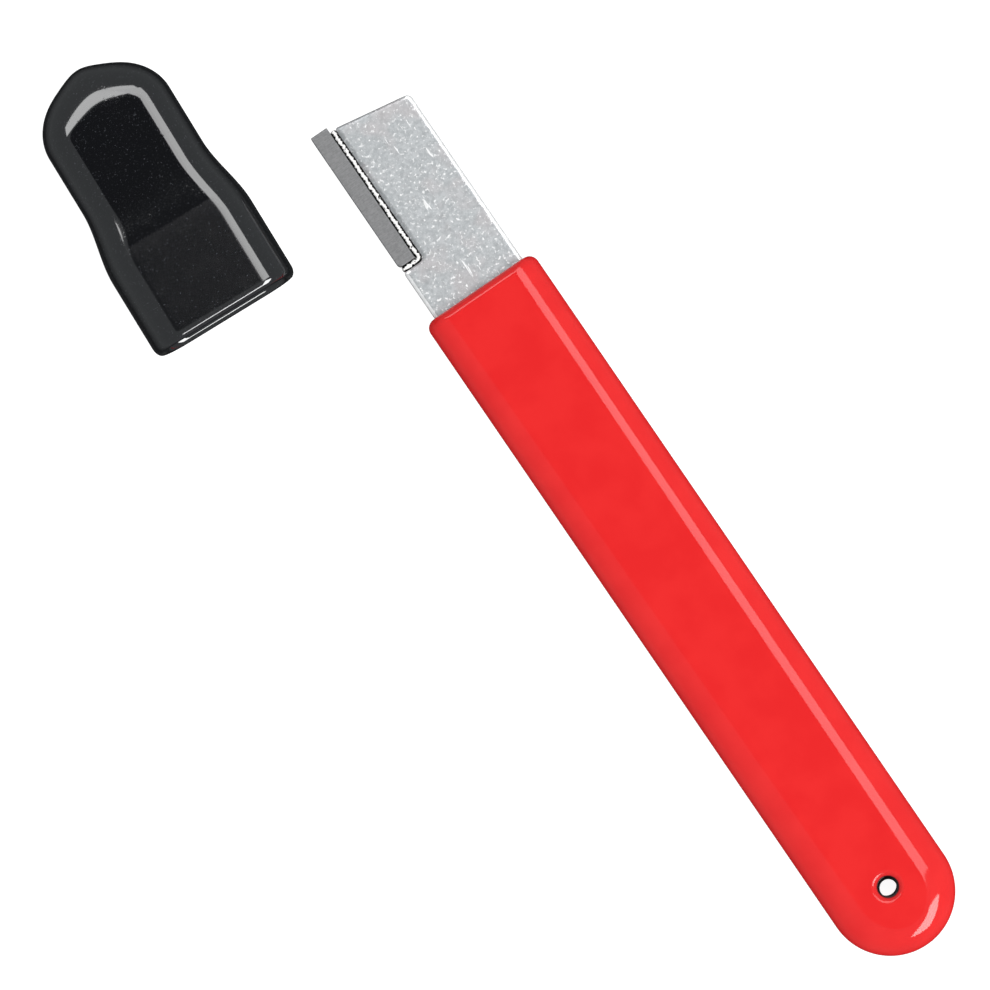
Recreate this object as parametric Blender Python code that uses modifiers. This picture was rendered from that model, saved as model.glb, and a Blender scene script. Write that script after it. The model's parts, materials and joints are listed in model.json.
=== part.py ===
"""Carbide hand sharpener with its blade cap lying beside it, for Blender 4.5.

A flat steel bar carries a tungsten carbide insert, brazed into a seat in the left edge of its head. The rest
of the bar is dipped in red vinyl, which forms the grip and lines the hang hole. A black vinyl cap, dipped on
a form of the same shape as the blade and the grip's mouth, slides over both. It lies beside the tool, tipped
on to its closed end.

Frame: X across the tool, Y along it towards the blade, Z up. The origin is on the tool's centre line, at the
middle of the grip's length, in the plane of its underside, on which both the tool and its cap lie. Metres.
"""

import math

import bmesh
import bpy
from mathutils import Matrix, Vector

MM = 0.001

# Between pieces that touch on the real tool
TOUCH_GAP = 0.2 * MM

# Steel bar
BAR_WIDTH = 13.3 * MM
BAR_THICKNESS = 3.2 * MM
BAR_EDGE_RADIUS = 0.5 * MM
BLADE_LENGTH = 26.8 * MM  # from the grip's mouth to the bar's longer corner
TIP_SLANT = math.radians(9.3)  # the bar's end falls away from the insert
TIP_CORNER_RADIUS = 0.9 * MM
SEAT_CORNER_RADIUS = 0.7 * MM
SEAT_MOUTH_RADIUS = 0.35 * MM  # where the seat meets the bar's side and its end

# Carbide insert and its braze
INSERT_WIDTH = 2.4 * MM
INSERT_LENGTH = 19.7 * MM
INSERT_BEVEL = 0.22 * MM
INSERT_PROUD_OF_SIDE = 0.13 * MM
INSERT_PROUD_OF_END = 0.6 * MM
INSERT_BELOW_FACE = 0.1 * MM
BRAZE_THICKNESS = 0.4 * MM
BRAZE_BELOW_FACE = 0.2 * MM

# Dipped vinyl grip
GRIP_LENGTH = 99.6 * MM
VINYL_THICKNESS = 1.5 * MM
GRIP_SIDE_FLAT = 0.4 * MM  # left at mid-height between the two rounded long edges
GRIP_LIP_RADIUS = 1.3 * MM
HANG_HOLE_DIAMETER = 2.8 * MM
HANG_HOLE_LINING = 0.8 * MM  # vinyl round the hang hole, inside the bar's own hole
HANG_HOLE_AHEAD = 0.75 * MM  # from the round tail's centre
DIMPLE_WIDTH = 0.7 * MM  # where the vinyl draws down into the hang hole
DIMPLE_DEPTH = 0.45 * MM

# Dipped vinyl cap
CAP_OVER_GRIP = 5.6 * MM  # length of the grip that the cap covers when it is on
CAP_END_WALL = 3.2 * MM
CAP_WALL = 1.6 * MM
CAP_CLEARANCE = 0.4 * MM  # round the grip, and beside the blade's edges
POCKET_PLAY = 0.95 * MM  # over and under the blade, which lies loosely in its pocket
CAP_SKIRT_LENGTH = 11.0 * MM
CAP_FLARE_LENGTH = 8.5 * MM  # from the skirt down to the blade pocket
CAP_LIP_RADIUS = 0.6 * MM
CAP_DOME_LENGTH = 8.0 * MM  # over which the closed end narrows
CAP_DOME_DROP = 5.5 * MM  # over which the closed end thins
POCKET_CORNER_RADIUS = 0.9 * MM  # in the pocket's section
POCKET_END_RADIUS = 1.5 * MM  # at the pocket's deep end

# Where the cap lies
CAP_ASIDE = 9.6 * MM  # from the grip's side to the skirt's
CAP_AHEAD = 14.9 * MM  # from the grip's mouth to the cap's
CAP_TURN = math.radians(-2.9)

# Mesh detail
ARC_STEP = math.radians(9)
EDGE_SEGMENTS = 4
CORNER_SEGMENTS = 7
ROUND_SEGMENTS = 32
EDGE_ANGLE = math.radians(50)  # sharper corners than this are rounded
SMOOTH_ANGLE = math.radians(35)  # flatter corners than this are shaded smooth
WELD = 0.01 * MM

# Worked out from the sizes above
GRIP_WIDTH = BAR_WIDTH + 2 * VINYL_THICKNESS
GRIP_THICKNESS = BAR_THICKNESS + 2 * VINYL_THICKNESS
GRIP_SIDE_RADIUS = (GRIP_THICKNESS - GRIP_SIDE_FLAT) / 2
MID_Z = GRIP_THICKNESS / 2
MOUTH_Y = GRIP_LENGTH / 2
TAIL_Y = -GRIP_LENGTH / 2
BAR_TAIL_Y = TAIL_Y + VINYL_THICKNESS
BAR_END_Y = MOUTH_Y + BLADE_LENGTH
HOLE_Y = TAIL_Y + GRIP_WIDTH / 2 + HANG_HOLE_AHEAD
BAR_HOLE_RADIUS = HANG_HOLE_DIAMETER / 2 + HANG_HOLE_LINING + TOUCH_GAP
SEAM = BRAZE_THICKNESS + 2 * TOUCH_GAP
INSERT_THICKNESS = BAR_THICKNESS - 2 * INSERT_BELOW_FACE
INSERT_LEFT = -BAR_WIDTH / 2 - INSERT_PROUD_OF_SIDE
INSERT_RIGHT = INSERT_LEFT + INSERT_WIDTH
INSERT_TOP = BAR_END_Y + INSERT_PROUD_OF_END
INSERT_FOOT = INSERT_TOP - INSERT_LENGTH
SEAT_X = INSERT_RIGHT + SEAM
SEAT_Y = INSERT_FOOT - SEAM
POCKET_DEPTH = CAP_OVER_GRIP + BLADE_LENGTH + INSERT_PROUD_OF_END
CAP_LENGTH = POCKET_DEPTH + CAP_END_WALL
SKIRT_HALF_WIDTH = GRIP_WIDTH / 2 + CAP_CLEARANCE + CAP_WALL
SKIRT_HALF_THICKNESS = GRIP_THICKNESS / 2 + CAP_CLEARANCE + CAP_WALL


# ---------------------------------------------------------------- scene helpers


def clear_scene():
    """Removes what the startup scene holds."""
    for old in list(bpy.data.objects):
        bpy.data.objects.remove(old)


def new_collection(name):
    """A collection linked to the scene."""
    made = bpy.data.collections.new(name)
    bpy.context.scene.collection.children.link(made)
    return made


def material(name, colour, roughness, metallic):
    """A Principled material. The colour is linear red, green and blue."""
    made = bpy.data.materials.new(name)
    made.use_nodes = True
    shader = made.node_tree.nodes["Principled BSDF"]
    shader.inputs["Base Color"].default_value = (*colour, 1.0)
    shader.inputs["Roughness"].default_value = roughness
    shader.inputs["Metallic"].default_value = metallic
    return made


def add_object(name, data, collection):
    """An object of this mesh or curve, in the collection."""
    made = bpy.data.objects.new(name, data)
    collection.objects.link(made)
    return made


def finish_part(part, finish):
    """Gives the piece its material, with round faces smooth and corners sharp."""
    part.data.materials.clear()
    part.data.materials.append(finish)
    part.data.shade_smooth()
    part.data.set_sharp_from_angle(angle=SMOOTH_ANGLE)


def hide_cutter(cutter):
    """Marks a helper that only cuts, so that it isn't a piece of the tool."""
    cutter.hide_render = True
    cutter.display_type = "WIRE"


def cut(part, cutter, name):
    """Takes the cutter's shape out of the piece."""
    modifier = part.modifiers.new(name, "BOOLEAN")
    modifier.operation = "DIFFERENCE"
    modifier.solver = "EXACT"
    modifier.object = cutter


def round_edges(part, radius, segments=EDGE_SEGMENTS):
    """Rounds the piece's sharp corners."""
    modifier = part.modifiers.new("rounded_edges", "BEVEL")
    modifier.width = radius
    modifier.segments = segments
    modifier.limit_method = "ANGLE"
    modifier.angle_limit = EDGE_ANGLE


# ---------------------------------------------------------------- outlines


def fillet(before, corner, after, radius):
    """The points that round one corner of an outline: an arc that touches both of the corner's sides."""
    back = (before - corner).normalized()
    ahead = (after - corner).normalized()
    half = back.angle(ahead) / 2
    start = corner + back * (radius / math.tan(half))
    centre = corner + (back + ahead).normalized() * (radius / math.sin(half))
    turn = (math.pi - 2 * half) * (1 if back.cross(ahead) < 0 else -1)
    steps = max(3, round(abs(turn) / ARC_STEP))
    spoke = start - centre
    return [centre + Matrix.Rotation(turn * i / steps, 2) @ spoke for i in range(steps + 1)]


def rounded_outline(corners):
    """A closed outline through the (x, y, radius) corners, anticlockwise, with each corner rounded."""
    points = []
    for i, (x, y, radius) in enumerate(corners):
        before = Vector(corners[i - 1][:2])
        after = Vector(corners[(i + 1) % len(corners)][:2])
        corner = Vector((x, y))
        points += fillet(before, corner, after, radius) if radius > 0 else [corner]
    return [p for i, p in enumerate(points) if (p - points[i - 1]).length > WELD]


def circle_outline(x, y, radius):
    """A circle as an outline."""
    angles = [2 * math.pi * i / ROUND_SEGMENTS for i in range(ROUND_SEGMENTS)]
    return [Vector((x + radius * math.cos(a), y + radius * math.sin(a))) for a in angles]


def plate(name, outlines, thickness, collection, edge_radius=0.0):
    """A flat piece centred on the tool's middle plane. The first outline is its edge, the others are holes.

    edge_radius rounds its edge, and puts it that much outside the outline.
    """
    curve = bpy.data.curves.new(name, "CURVE")
    curve.dimensions = "2D"
    curve.fill_mode = "BOTH"
    curve.extrude = thickness / 2 - edge_radius
    curve.bevel_depth = edge_radius
    curve.bevel_resolution = EDGE_SEGMENTS
    for outline in outlines:
        spline = curve.splines.new("POLY")
        spline.points.add(len(outline) - 1)
        for point, place in zip(spline.points, outline):
            point.co = (place.x, place.y, 0, 1)
        spline.use_cyclic_u = True
    drawn = add_object(name + "_curve", curve, collection)
    drawn.location.z = MID_Z
    return welded_mesh(drawn, name, collection)


def welded_mesh(drawn, name, collection):
    """The curve object as a mesh object in its place, with its caps welded on."""
    bpy.context.view_layer.update()
    mesh = bpy.data.meshes.new_from_object(drawn.evaluated_get(bpy.context.evaluated_depsgraph_get()))
    mesh.name = name
    work = bmesh.new()
    work.from_mesh(mesh)
    bmesh.ops.remove_doubles(work, verts=work.verts, dist=WELD)
    bmesh.ops.recalc_face_normals(work, faces=work.faces)
    work.to_mesh(mesh)
    work.free()
    made = add_object(name, mesh, collection)
    made.matrix_world = drawn.matrix_world
    bpy.data.objects.remove(drawn)
    return made


# ---------------------------------------------------------------- steel bar, insert, braze


def bar_tail_corners(half_width, tail_y):
    """The two corners that make a round tail."""
    return [(-half_width, tail_y, half_width), (half_width, tail_y, half_width)]


def build_bar(collection):
    """The flat bar: round tail with its hang hole, slanted end, and the insert's seat in its left edge."""
    half = BAR_WIDTH / 2
    right_end_y = BAR_END_Y - (half - SEAT_X) * math.tan(TIP_SLANT)
    edge = rounded_outline(
        bar_tail_corners(half, BAR_TAIL_Y)
        + [
            (half, right_end_y, TIP_CORNER_RADIUS),
            (SEAT_X, BAR_END_Y, SEAT_MOUTH_RADIUS),
            (SEAT_X, SEAT_Y, SEAT_CORNER_RADIUS),
            (-half, SEAT_Y, SEAT_MOUTH_RADIUS),
        ]
    )
    hole = circle_outline(0, HOLE_Y, BAR_HOLE_RADIUS)
    bar = plate("steel_bar", [edge, hole], BAR_THICKNESS, collection)
    round_edges(bar, BAR_EDGE_RADIUS)
    return bar


def build_insert(collection):
    """The carbide insert, a ground bar of square section with its edges eased."""
    size = Vector((INSERT_WIDTH, INSERT_LENGTH, INSERT_THICKNESS))
    work = bmesh.new()
    bmesh.ops.create_cube(work, size=1)
    bmesh.ops.scale(work, vec=size, verts=work.verts)
    mesh = bpy.data.meshes.new("carbide_insert")
    work.to_mesh(mesh)
    work.free()
    insert = add_object("carbide_insert", mesh, collection)
    insert.location = ((INSERT_LEFT + INSERT_RIGHT) / 2, (INSERT_TOP + INSERT_FOOT) / 2, MID_Z)
    round_edges(insert, INSERT_BEVEL, segments=2)
    return insert


def build_braze(collection):
    """The braze, an L of filler between the insert and the two walls of its seat."""
    right = SEAT_X - TOUCH_GAP
    left = right - BRAZE_THICKNESS
    foot = SEAT_Y + TOUCH_GAP
    shelf = foot + BRAZE_THICKNESS
    outer_radius = SEAT_CORNER_RADIUS - TOUCH_GAP
    edge = rounded_outline(
        [
            (-BAR_WIDTH / 2, foot, 0),
            (right, foot, outer_radius),
            (right, BAR_END_Y, 0),
            (left, BAR_END_Y, 0),
            (left, shelf, TOUCH_GAP),
            (-BAR_WIDTH / 2, shelf, 0),
        ]
    )
    return plate("braze_seam", [edge], BAR_THICKNESS - 2 * BRAZE_BELOW_FACE, collection)


# ---------------------------------------------------------------- grip


def mouth_cut(grip):
    """Cuts the grip square at its mouth, and rounds the lip that is left."""
    work = bmesh.new()
    work.from_mesh(grip.data)
    bmesh.ops.bisect_plane(
        work,
        geom=work.verts[:] + work.edges[:] + work.faces[:],
        plane_co=(0, MOUTH_Y, 0),
        plane_no=(0, 1, 0),
        clear_outer=True,
    )
    lip = [edge for edge in work.edges if edge.is_boundary]
    bmesh.ops.holes_fill(work, edges=lip)
    bmesh.ops.bevel(
        work,
        geom=lip,
        offset=GRIP_LIP_RADIUS,
        segments=EDGE_SEGMENTS,
        profile=0.5,
        affect="EDGES",
    )
    bmesh.ops.recalc_face_normals(work, faces=work.faces)
    work.to_mesh(grip.data)
    work.free()


def bar_space(cutters):
    """The bar's shape grown by the touching gap. Its hole leaves a sleeve of vinyl round the hang hole."""
    half = BAR_WIDTH / 2 + TOUCH_GAP
    tail = bar_tail_corners(half, BAR_TAIL_Y - TOUCH_GAP)
    edge = rounded_outline(tail + [(half, BAR_END_Y, 0), (-half, BAR_END_Y, 0)])
    hole = circle_outline(0, HOLE_Y, BAR_HOLE_RADIUS - TOUCH_GAP)
    space = plate("bar_space", [edge, hole], BAR_THICKNESS + 2 * TOUCH_GAP, cutters)
    round_edges(space, BAR_EDGE_RADIUS)
    hide_cutter(space)
    return space


def hang_hole(cutters):
    """A turned cutter: the hang hole, flared at both faces as a quarter of an ellipse for the dimple."""
    bore = HANG_HOLE_DIAMETER / 2
    top = GRIP_THICKNESS / 2
    quarter = [math.pi / 2 * i / EDGE_SEGMENTS for i in range(EDGE_SEGMENTS + 1)]
    rim = bore + DIMPLE_WIDTH
    upper = [(rim - DIMPLE_WIDTH * math.sin(a), top - DIMPLE_DEPTH * (1 - math.cos(a))) for a in quarter]
    lower = [(x, -z) for x, z in reversed(upper)]
    profile = [(0, 2 * top), (rim, 2 * top), *upper, *lower, (rim, -2 * top), (0, -2 * top)]
    mesh = bpy.data.meshes.new("hang_hole")
    mesh.from_pydata([(x, 0, z) for x, z in profile], [(i, i + 1) for i in range(len(profile) - 1)], [])
    cutter = add_object("hang_hole", mesh, cutters)
    cutter.location = (0, HOLE_Y, MID_Z)
    screw = cutter.modifiers.new("turned", "SCREW")
    screw.steps = ROUND_SEGMENTS
    screw.render_steps = ROUND_SEGMENTS
    screw.use_merge_vertices = True
    screw.merge_threshold = WELD
    hide_cutter(cutter)
    return cutter


def build_grip(collection, cutters):
    """The dipped grip: round sides and tail, an eased lip at the mouth, hollow where the bar is."""
    half = GRIP_WIDTH / 2 - GRIP_SIDE_RADIUS
    tail = bar_tail_corners(half, TAIL_Y + GRIP_SIDE_RADIUS)
    edge = rounded_outline(tail + [(half, 2 * MOUTH_Y, 0), (-half, 2 * MOUTH_Y, 0)])
    grip = plate("grip", [edge], GRIP_THICKNESS, collection, edge_radius=GRIP_SIDE_RADIUS)
    mouth_cut(grip)
    cut(grip, bar_space(cutters), "bar_space")
    cut(grip, hang_hole(cutters), "hang_hole")
    return grip


# ---------------------------------------------------------------- cap


def section(half_width, half_thickness, radius, y):
    """A rounded rectangle across the cap at y, anticlockwise seen from the mouth."""
    radius = min(radius, half_width, half_thickness)
    quarter = [math.pi / 2 * i / CORNER_SEGMENTS for i in range(CORNER_SEGMENTS + 1)]
    ring = []
    for turn, (side, face) in enumerate([(1, 1), (-1, 1), (-1, -1), (1, -1)]):
        centre_x = side * (half_width - radius)
        centre_z = face * (half_thickness - radius)
        for angle in quarter:
            a = angle + turn * math.pi / 2
            ring.append((centre_x + radius * math.cos(a), y, centre_z + radius * math.sin(a)))
    return ring


def blend(low, high, share):
    """From low to high, easing in and out as the share goes from 0 to 1."""
    share = min(max(share, 0), 1)
    return low + (high - low) * share * share * (3 - 2 * share)


def rounding(distance, length):
    """The share of full size at this distance from an end that closes as a quarter of an ellipse."""
    share = min(max(distance / length, 0), 1)
    return math.sqrt(1 - (1 - share) ** 2)


def form_size(y):
    """The dipping form's half width, half thickness and corner radius at y: skirt, flare, then pocket."""
    share = (y - CAP_SKIRT_LENGTH) / CAP_FLARE_LENGTH
    blade_half = BAR_WIDTH / 2 + INSERT_PROUD_OF_SIDE
    return (
        blend(GRIP_WIDTH / 2, blade_half, share) + CAP_CLEARANCE,
        blend(GRIP_THICKNESS / 2 + CAP_CLEARANCE, BAR_THICKNESS / 2 + POCKET_PLAY, share),
        blend(GRIP_SIDE_RADIUS + CAP_CLEARANCE, POCKET_CORNER_RADIUS, share),
    )


def outer_section(y):
    """The cap's outside at y: the form and a wall, with an eased lip at the mouth and a domed end."""
    half_width, half_thickness, radius = (size + CAP_WALL for size in form_size(y))
    lip = CAP_LIP_RADIUS * (1 - rounding(y, CAP_LIP_RADIUS))
    from_end = CAP_LENGTH - y
    wide = (half_width - lip) * rounding(from_end, CAP_DOME_LENGTH)
    thick = (half_thickness - lip) * rounding(from_end, CAP_DOME_DROP)
    return section(wide, thick, radius, y)


def form_section(y):
    """The hollow inside the cap at y, with its deep end rounded."""
    half_width, half_thickness, radius = form_size(y)
    ease = 1 - rounding(POCKET_DEPTH - y, POCKET_END_RADIUS)
    wide = half_width - POCKET_END_RADIUS * ease
    thick = half_thickness - POCKET_CORNER_RADIUS * ease
    return section(wide, thick, radius, y)


def stations(start, end, end_length, count):
    """Places along the cap from start to end, even at first and closing up over the rounded last stretch."""
    straight = end - end_length
    body = [start + (straight - start) * i / count for i in range(count)]
    turns = [math.pi / 2 * i / CORNER_SEGMENTS for i in range(CORNER_SEGMENTS + 1)]
    return body + [straight + end_length * math.sin(a) for a in turns]


def loft(name, rings, collection):
    """A closed body through rings of the same number of points, with flat ends."""
    count = len(rings[0])
    faces = [
        (k * count + i, (k + 1) * count + i, (k + 1) * count + (i + 1) % count, k * count + (i + 1) % count)
        for k in range(len(rings) - 1)
        for i in range(count)
    ]
    faces.append(tuple(range(count)))
    faces.append(tuple(reversed(range((len(rings) - 1) * count, len(rings) * count))))
    mesh = bpy.data.meshes.new(name)
    mesh.from_pydata([point for ring in rings for point in ring], [], faces)
    work = bmesh.new()
    work.from_mesh(mesh)
    bmesh.ops.remove_doubles(work, verts=work.verts, dist=WELD)
    bmesh.ops.recalc_face_normals(work, faces=work.faces)
    work.to_mesh(mesh)
    work.free()
    return add_object(name, mesh, collection)


def resting_tip():
    """The angle at which the cap's closed end touches the plane that the skirt's inner end lies on."""
    angles = []
    for y in stations(CAP_SKIRT_LENGTH + CAP_FLARE_LENGTH, CAP_LENGTH, CAP_DOME_DROP, CORNER_SEGMENTS):
        lowest = min(z for _, _, z in outer_section(y))
        angles.append(math.atan2(SKIRT_HALF_THICKNESS + lowest, y - CAP_SKIRT_LENGTH))
    return min(angles)


def lay_down(cap):
    """Lays the cap beside the blade: tipped on to its closed end, turned, and lifted on to the plane."""
    mouth_x = -GRIP_WIDTH / 2 - CAP_ASIDE - SKIRT_HALF_WIDTH
    cap.rotation_euler = (-resting_tip(), 0, CAP_TURN)
    cap.location = (mouth_x, MOUTH_Y + CAP_AHEAD, 0)
    bpy.context.view_layer.update()
    cap.location.z = -min((cap.matrix_world @ vertex.co).z for vertex in cap.data.vertices)


def build_cap(collection, cutters):
    """The dipped cap: a skirt for the grip's mouth, a flare, and a pocket for the blade with a domed end."""
    lip = [CAP_LIP_RADIUS * (1 - math.cos(math.pi / 2 * i / EDGE_SEGMENTS)) for i in range(EDGE_SEGMENTS)]
    crown = CAP_LENGTH - WELD  # just short of the end, where the section would shrink to nothing
    outside = lip + stations(CAP_LIP_RADIUS, crown, CAP_DOME_LENGTH, 2 * CORNER_SEGMENTS)
    cap = loft("cap", [outer_section(y) for y in outside], collection)
    inside = stations(-CAP_LIP_RADIUS, POCKET_DEPTH, POCKET_END_RADIUS, 2 * CORNER_SEGMENTS)
    form = loft("cap_form", [form_section(y) for y in inside], cutters)
    form.parent = cap
    lay_down(cap)
    hide_cutter(form)
    cut(cap, form, "pocket")
    return cap


# ---------------------------------------------------------------- the tool


def main():
    """Builds the tool's pieces and gives each its finish."""
    clear_scene()
    tool = new_collection("carbide_sharpener")
    cutters = new_collection("cutters")
    finish_part(build_bar(tool), material("plated_steel", (0.50, 0.52, 0.53), 0.38, 1.0))
    finish_part(build_insert(tool), material("ground_carbide", (0.27, 0.27, 0.27), 0.42, 1.0))
    finish_part(build_braze(tool), material("braze_filler", (0.72, 0.70, 0.64), 0.35, 1.0))
    finish_part(build_grip(tool, cutters), material("red_vinyl", (0.85, 0.022, 0.025), 0.22, 0.0))
    finish_part(build_cap(tool, cutters), material("black_vinyl", (0.010, 0.011, 0.013), 0.14, 0.0))


main()
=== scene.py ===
"""Looks of a carbide hand sharpener: plated bar, brazed carbide, red dipped grip and black dipped cap.

Every size is in millimetres until a mesh is written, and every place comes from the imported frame's boxes.
In the frame +Y runs to the head, +X to the side away from the carbide, and +Z up from the floor.
"""

import json
import logging
import math
from dataclasses import dataclass, field
from enum import Enum

import bmesh
import bpy
import numpy as np
from mathutils import Matrix, Vector


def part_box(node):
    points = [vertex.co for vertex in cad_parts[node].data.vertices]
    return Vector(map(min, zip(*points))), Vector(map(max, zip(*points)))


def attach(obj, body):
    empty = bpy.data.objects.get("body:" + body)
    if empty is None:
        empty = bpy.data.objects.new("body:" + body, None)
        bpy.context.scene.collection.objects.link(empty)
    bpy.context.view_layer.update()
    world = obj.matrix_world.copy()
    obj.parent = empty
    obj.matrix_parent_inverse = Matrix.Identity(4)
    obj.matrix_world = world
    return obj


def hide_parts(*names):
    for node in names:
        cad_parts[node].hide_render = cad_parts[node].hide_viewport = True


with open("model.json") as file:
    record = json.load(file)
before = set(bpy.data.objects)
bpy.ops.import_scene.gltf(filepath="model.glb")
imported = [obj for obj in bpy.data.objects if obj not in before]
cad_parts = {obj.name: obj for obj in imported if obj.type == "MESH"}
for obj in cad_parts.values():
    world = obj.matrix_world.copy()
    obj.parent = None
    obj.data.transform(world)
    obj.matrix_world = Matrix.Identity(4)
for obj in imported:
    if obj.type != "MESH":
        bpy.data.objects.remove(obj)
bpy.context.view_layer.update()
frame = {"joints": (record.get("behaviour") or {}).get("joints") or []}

LOG = logging.getLogger("hand_sharpener")
MM = 0.001
WELD = 0.0002
HOLE_AHEAD = 0.75  # of the round tail's centre, in the grip and in the bar

Colour = tuple[float, float, float]


class Body(Enum):
    """The two rigid bodies of the frame."""

    TOOL = "tool"
    CAP = "cap"


class Slot(Enum):
    """The record's material slots."""

    STEEL = "plated_steel"
    CARBIDE = "ground_carbide"
    BRAZE = "braze_filler"
    RED = "red_vinyl"
    BLACK = "black_vinyl"


def node_box(node: str) -> tuple[np.ndarray, np.ndarray]:
    """Gives a frame node's corners in millimetres.

    Args:
        node: name of the node in the frame.

    Returns:
        Its lowest and highest corner, each an array of three.
    """
    low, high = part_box(node)
    return np.array(low) / MM, np.array(high) / MM


def ease(value: np.ndarray, start: float, end: float) -> np.ndarray:
    """Rises smoothly from 0 at start to 1 at end: three t squared less two t cubed.

    Args:
        value: where the rise is read.
        start: value below which the result is 0.
        end: value above which the result is 1.

    Returns:
        The eased fraction, in the shape of value.
    """
    t = np.clip((value - start) / (end - start), 0.0, 1.0)
    return t * t * (3.0 - 2.0 * t)


def ripple(value: np.ndarray, waves: tuple[tuple[float, float, float], ...]) -> np.ndarray:
    """Adds up sine waves, each given as its height, its length and its phase.

    Args:
        value: distance along the surface.
        waves: height, wavelength and phase of each wave.

    Returns:
        The sum of height times sin(2 pi value / length + phase).
    """
    height, length, phase = np.array(waves).T
    return (height * np.sin(2 * np.pi * value[..., None] / length + phase)).sum(-1)


# ---------------------------------------------------------------- surfaces


class Skin:
    """Quads gathered from grids of points, in millimetres, before they become one closed mesh."""

    def __init__(self) -> None:
        """Starts an empty skin."""
        self.points: list[np.ndarray] = []
        self.quads: list[np.ndarray] = []
        self.shade: list[np.ndarray] = []
        self.count = 0

    def add_grid(
        self,
        grid: np.ndarray,
        wrap_rows: bool,
        wrap_columns: bool,
        hole: tuple[int, int, int, int] | None = None,
        shade: np.ndarray | None = None,
    ) -> np.ndarray:
        """Adds a grid of points and the quads between neighbouring rows and columns.

        Args:
            grid: points, rows by columns by three.
            wrap_rows: joins the last row to the first.
            wrap_columns: joins the last column to the first.
            hole: first row, last row, first column and last column of a window without quads.
            shade: one number for each point, read by its finish.

        Returns:
            The point numbers, rows by columns.
        """
        rows, columns = grid.shape[:2]
        index = self.count + np.arange(rows * columns).reshape(rows, columns)
        row = np.arange(rows if wrap_rows else rows - 1)
        column = np.arange(columns if wrap_columns else columns - 1)
        r, c = np.meshgrid(row, column, indexing="ij")
        keep = np.ones(r.shape, bool)
        if hole is not None:
            top, bottom, left, right = hole
            keep = ~((r >= top) & (r < bottom) & (c >= left) & (c < right))
        r, c = r[keep], c[keep]
        below, beside = (r + 1) % rows, (c + 1) % columns
        self.quads.append(
            np.stack([index[r, c], index[r, beside], index[below, beside], index[below, c]], -1)
        )
        self.points.append(grid.reshape(-1, 3))
        self.shade.append(np.zeros(rows * columns) if shade is None else shade.reshape(-1))
        self.count += rows * columns
        return index

    def bridge(self, first: np.ndarray, second: np.ndarray) -> None:
        """Joins two closed loops of equal length, point by point.

        Args:
            first: point numbers of one loop.
            second: point numbers of the other, in the same order.
        """
        self.quads.append(
            np.stack([first, np.roll(first, -1), np.roll(second, -1), second], -1)
        )

    def make(self, name: str, sharp: float = 40.0) -> bpy.types.Object:
        """Writes the mesh, merges seams and poles, and turns every face outwards.

        Args:
            name: name of the new object.
            sharp: angle in degrees above which an edge keeps a hard shading line.

        Returns:
            The finished object, at the origin.
        """
        mesh = bpy.data.meshes.new(name)
        mesh.from_pydata(
            (np.concatenate(self.points) * MM).tolist(), [], np.concatenate(self.quads).tolist()
        )
        layer = mesh.attributes.new("shade", "FLOAT", "POINT")
        layer.data.foreach_set("value", np.concatenate(self.shade).astype(np.float32))
        work = bmesh.new()
        work.from_mesh(mesh)
        bmesh.ops.remove_doubles(work, verts=work.verts, dist=WELD * MM)
        bmesh.ops.dissolve_degenerate(work, dist=WELD * MM, edges=work.edges)
        bmesh.ops.recalc_face_normals(work, faces=work.faces)
        if work.calc_volume(signed=True) < 0:
            bmesh.ops.reverse_faces(work, faces=work.faces)
        open_edges = sum(1 for edge in work.edges if len(edge.link_faces) != 2)
        work.to_mesh(mesh)
        work.free()
        mesh.shade_smooth()
        mesh.set_sharp_from_angle(angle=math.radians(sharp))
        piece = bpy.data.objects.new(name, mesh)
        bpy.context.scene.collection.objects.link(piece)
        LOG.info("%s: %d faces, %d open edges", name, len(mesh.polygons), open_edges)
        return piece


@dataclass(frozen=True)
class Corner:
    """One corner of a plan outline, with the fillet on it and the edge that leaves it."""

    x: float
    y: float
    radius: float
    steps: int
    run: int
    end_edge: bool = False


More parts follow.
